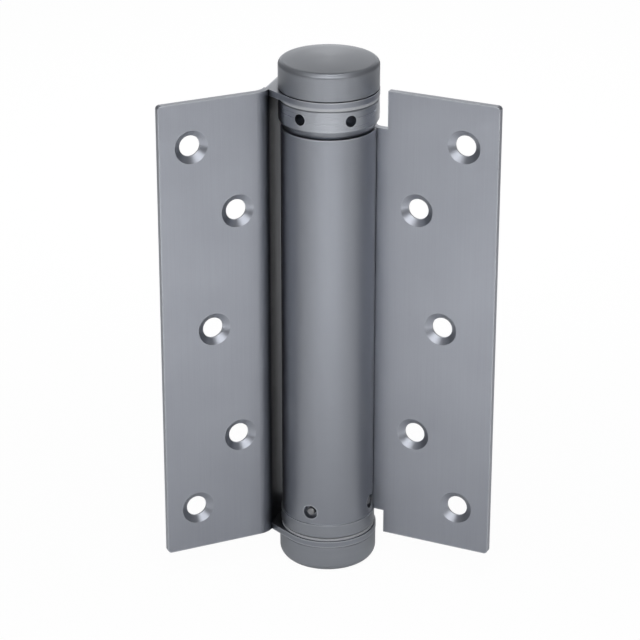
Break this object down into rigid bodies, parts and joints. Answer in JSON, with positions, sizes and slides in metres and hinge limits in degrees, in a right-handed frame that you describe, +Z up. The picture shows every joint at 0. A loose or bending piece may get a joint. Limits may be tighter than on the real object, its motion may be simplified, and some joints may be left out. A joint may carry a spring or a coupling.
{
  "type": "single action spring hinge",
  "caption": "Satin steel spring hinge: two countersunk leaves on a long barrel with a coil spring inside, a tension collar above and round end caps.",
  "frame": {"origin": "on the hinge axis at mid height of the leaves", "axes": "+Z up the hinge axis toward the tension collar; +X out along the barrel leaf; -Y is the side the screw face of the barrel leaf looks to"},
  "size_m": [0.0937, 0.0557, 0.1685],
  "materials": {
    "leaf_steel": "satin sheet with an upright grain",
    "turned_steel": "fine turned satin",
    "pin_steel": "plain drawn bar",
    "spring_steel": "dark drawn wire",
    "bush_bronze": "plain sintered bronze",
    "washer_plastic": "pale grey moulded acetal"
  },
  "bodies": {
    "barrel_body": {"barrel_leaf": "leaf_steel", "bottom_plug": "turned_steel", "plug_bush": "bush_bronze", "plug_pins": "pin_steel", "torsion_spring": "spring_steel"},
    "lug_body": {"lug_leaf": "leaf_steel", "spindle": "pin_steel", "top_cap": "turned_steel", "bottom_cap": "turned_steel", "upper_thrust_washer": "washer_plastic", "lower_thrust_washer": "washer_plastic"},
    "collar_body": {"tension_collar": "turned_steel", "collar_bush": "bush_bronze", "stop_pin": "pin_steel"}
  },
  "joints": [
    {"name": "leaf_swing", "type": "hinge", "parent": "barrel_body", "child": "lug_body", "pos_m": [0, 0, 0], "axis": [0, 0, 1], "range_deg": [-49, 131], "stiffness_Nm_per_rad": 0.6, "deforming": ["torsion_spring"]},
    {"name": "collar_turn", "type": "hinge", "parent": "lug_body", "child": "collar_body", "pos_m": [0, 0, 0], "axis": [0, 0, 1], "range_deg": [-60, 0], "stiffness_Nm_per_rad": 0.6, "deforming": ["torsion_spring"]}
  ]
}
